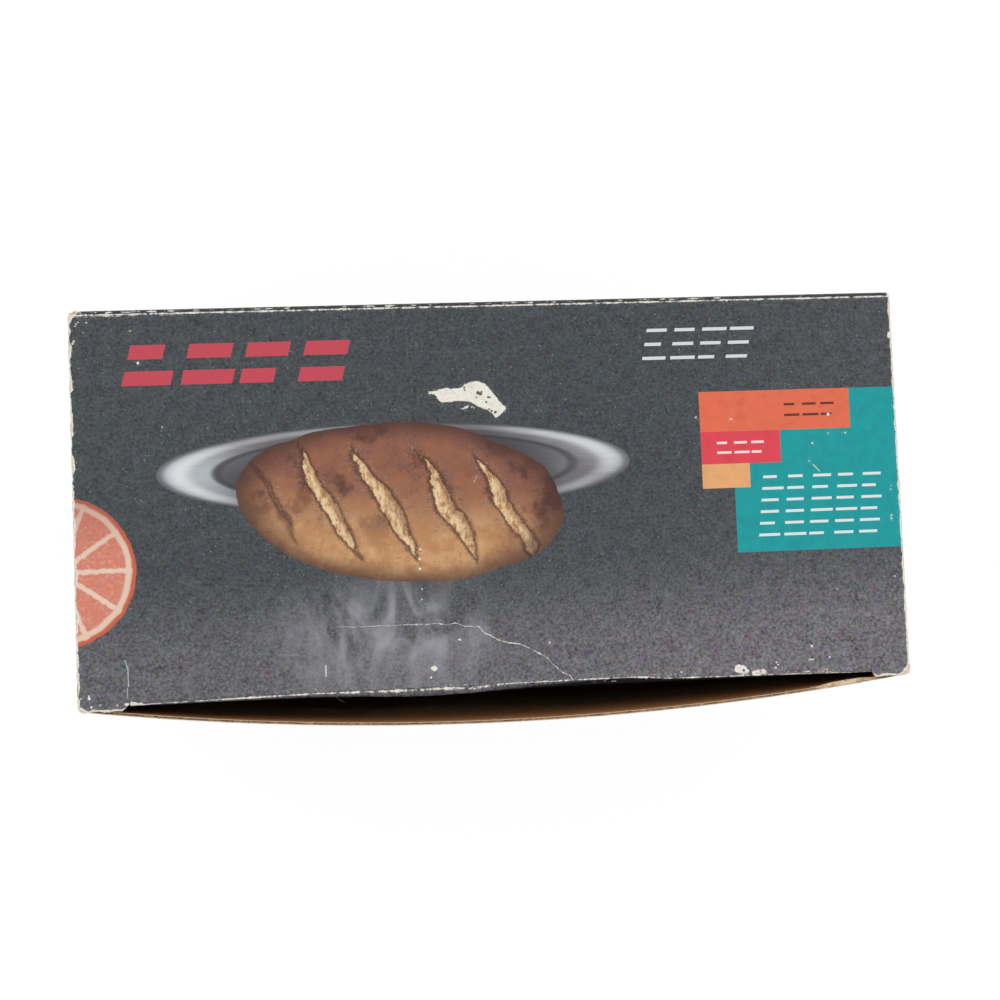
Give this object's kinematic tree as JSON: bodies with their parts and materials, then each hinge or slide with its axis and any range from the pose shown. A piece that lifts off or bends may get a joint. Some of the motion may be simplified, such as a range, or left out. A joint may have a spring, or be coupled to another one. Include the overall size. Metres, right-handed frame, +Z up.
{
  "type": "tuck-top retail carton",
  "caption": "Closed rectangular carton of fluted board with a printed outside, a hinged tuck-top lid, dust flaps, a glued base and a bowed front wall.",
  "frame": {"origin": "middle of the base, on the plane that the box stands on", "axes": "+X along the long side with the lid's 18 mm ear at -X, +Y from the bowed tuck wall to the wall that the lid hinges on, +Z up"},
  "size_m": [0.304, 0.1546, 0.19],
  "materials": {
    "printed_sheet": "satin offset print on white-faced paper, worn white along the folds",
    "fluted_medium": "raw brown fluting paper",
    "kraft_liner": "raw brown kraft paper",
    "crushed_board": "board crushed along a crease, printed outside and brown inside",
    "dried_glue": "dried cold glue"
  },
  "bodies": {
    "tube": {"hinge_wall_print": "printed_sheet", "hinge_wall_flute": "fluted_medium", "hinge_wall_liner": "kraft_liner", "left_wall_print": "printed_sheet", "left_wall_flute": "fluted_medium", "left_wall_liner": "kraft_liner", "right_wall_print": "printed_sheet", "right_wall_flute": "fluted_medium", "right_wall_liner": "kraft_liner", "tuck_wall_print": "printed_sheet", "tuck_wall_flute": "fluted_medium", "tuck_wall_liner": "kraft_liner", "glue_tab_print": "printed_sheet", "glue_tab_flute": "fluted_medium", "glue_tab_liner": "kraft_liner", "bottom_outer_print": "printed_sheet", "bottom_outer_flute": "fluted_medium", "bottom_outer_liner": "kraft_liner", "bottom_inner_print": "printed_sheet", "bottom_inner_flute": "fluted_medium", "bottom_inner_liner": "kraft_liner", "bottom_minor_left_print": "printed_sheet", "bottom_minor_left_flute": "fluted_medium", "bottom_minor_left_liner": "kraft_liner", "bottom_minor_right_print": "printed_sheet", "bottom_minor_right_flute": "fluted_medium", "bottom_minor_right_liner": "kraft_liner", "corner_creases": "crushed_board", "lid_crease": "crushed_board", "dust_creases": "crushed_board", "bottom_creases": "crushed_board", "joint_glue": "dried_glue", "bottom_glue": "dried_glue"},
    "lid": {"lid_print": "printed_sheet", "lid_flute": "fluted_medium", "lid_liner": "kraft_liner", "tuck_crease": "crushed_board"},
    "tuck_flap": {"tuck_flap_print": "printed_sheet", "tuck_flap_flute": "fluted_medium", "tuck_flap_liner": "kraft_liner"},
    "dust_left": {"dust_flap_left_print": "printed_sheet", "dust_flap_left_flute": "fluted_medium", "dust_flap_left_liner": "kraft_liner"},
    "dust_right": {"dust_flap_right_print": "printed_sheet", "dust_flap_right_flute": "fluted_medium", "dust_flap_right_liner": "kraft_liner"}
  },
  "joints": [
    {"name": "lid_hinge", "type": "hinge", "parent": "tube", "child": "lid", "pos_m": [0, 0.07141, 0.18941], "axis": [-1, 0, 0], "range_deg": [0, 210]},
    {"name": "tuck_fold", "type": "hinge", "parent": "lid", "child": "tuck_flap", "pos_m": [0, -0.06979, 0.18922], "axis": [-1, 0, 0], "range_deg": [0, 105]},
    {"name": "dust_left_fold", "type": "hinge", "parent": "tube", "child": "dust_left", "pos_m": [-0.15141, 0, 0.18751], "axis": [0, -1, 0], "range_deg": [0, 84]},
    {"name": "dust_right_fold", "type": "hinge", "parent": "tube", "child": "dust_right", "pos_m": [0.15141, 0, 0.18751], "axis": [0, 1, 0], "range_deg": [0, 84]}
  ],
  "couplings": [
    {"joint": "tuck_fold", "follows": "lid_hinge", "ratio": 0.5},
    {"joint": "dust_left_fold", "follows": "lid_hinge", "ratio": 0.4},
    {"joint": "dust_right_fold", "follows": "lid_hinge", "ratio": 0.4}
  ]
}
